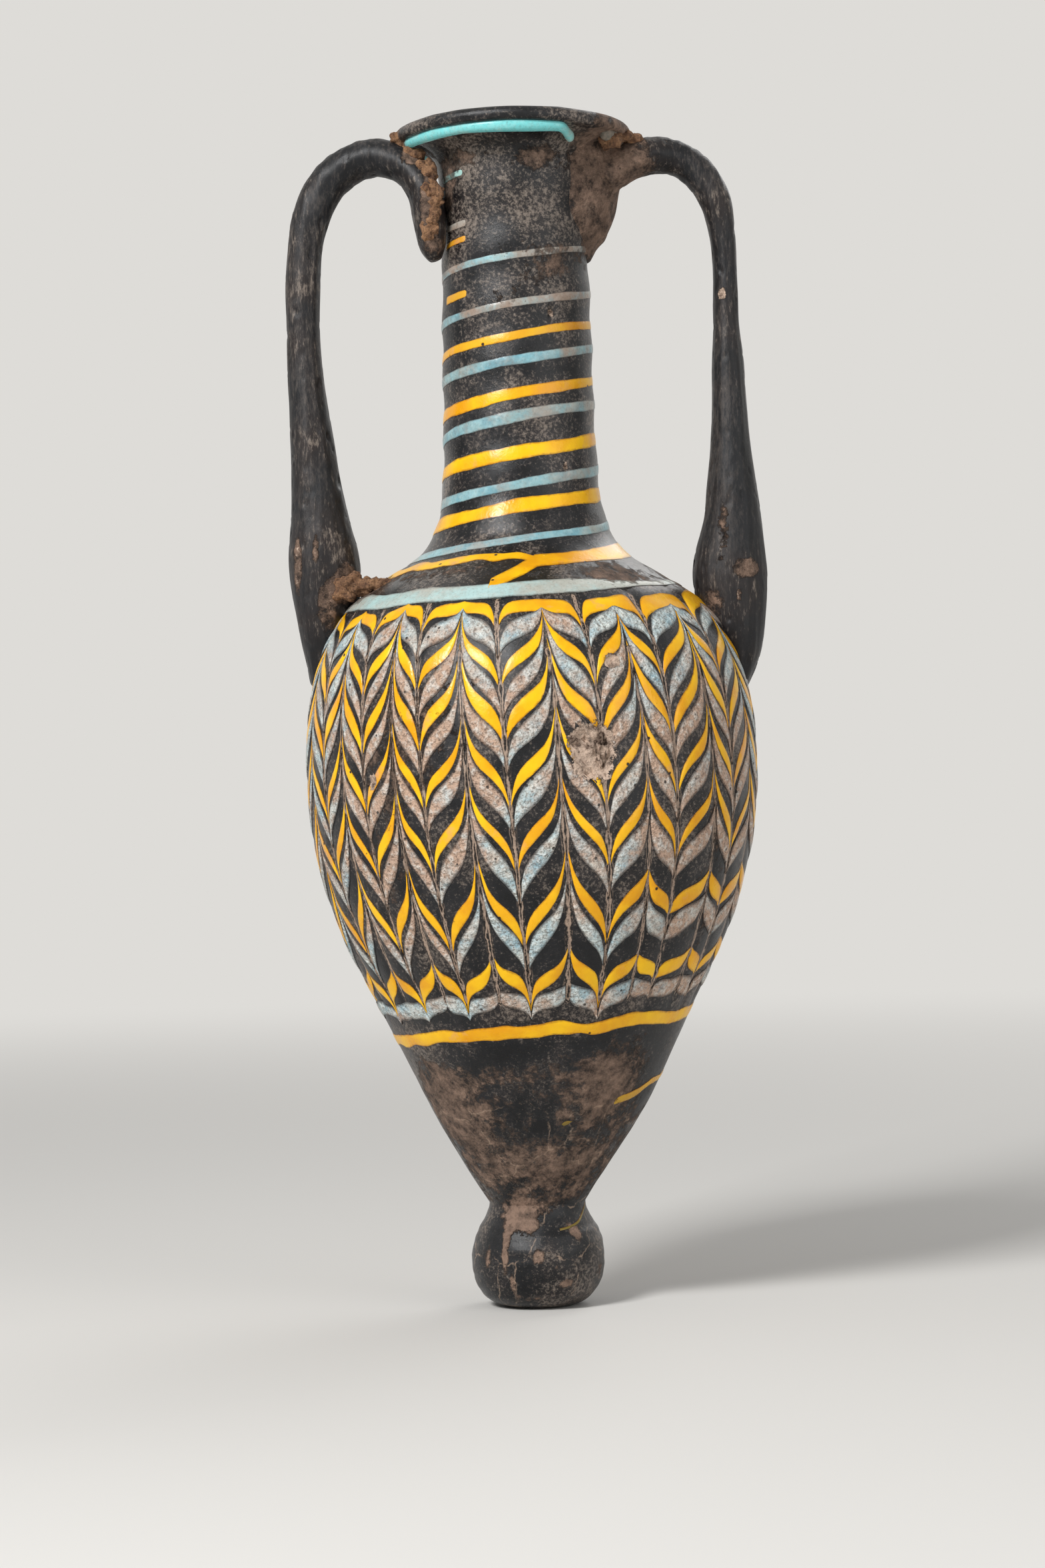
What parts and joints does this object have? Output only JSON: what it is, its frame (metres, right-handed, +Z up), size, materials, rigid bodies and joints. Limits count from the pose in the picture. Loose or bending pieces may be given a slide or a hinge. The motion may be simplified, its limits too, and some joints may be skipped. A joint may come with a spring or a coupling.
{
  "type": "amphoriskos",
  "caption": "Small two-handled core-formed glass oil flask with a long neck, a disc mouth, a combed feather pattern and a ball-shaped base knob.",
  "frame": {"origin": "middle of the small flat under the base knob", "axes": "+Z up the vessel's axis, +X through the thinner right handle, the pictured front towards -Y"},
  "size_m": [0.0611, 0.0582, 0.1501],
  "materials": {
    "dark_glass": "opaque dark blue-black glass, weathered to a satin",
    "yellow_glass": "opaque yellow glass, smooth",
    "turquoise_glass": "opaque turquoise glass, weathered and pitted"
  },
  "bodies": {
    "root": {"vessel_body": "dark_glass", "base_knob": "dark_glass", "mouth_disc": "dark_glass", "mouth_trail_turquoise": "turquoise_glass", "handle_left": "dark_glass", "handle_right": "dark_glass", "neck_trail_yellow": "yellow_glass", "neck_trail_turquoise": "turquoise_glass", "shoulder_band_turquoise": "turquoise_glass", "belly_trail_yellow": "yellow_glass", "belly_trail_turquoise": "turquoise_glass"}
  },
  "joints": []
}
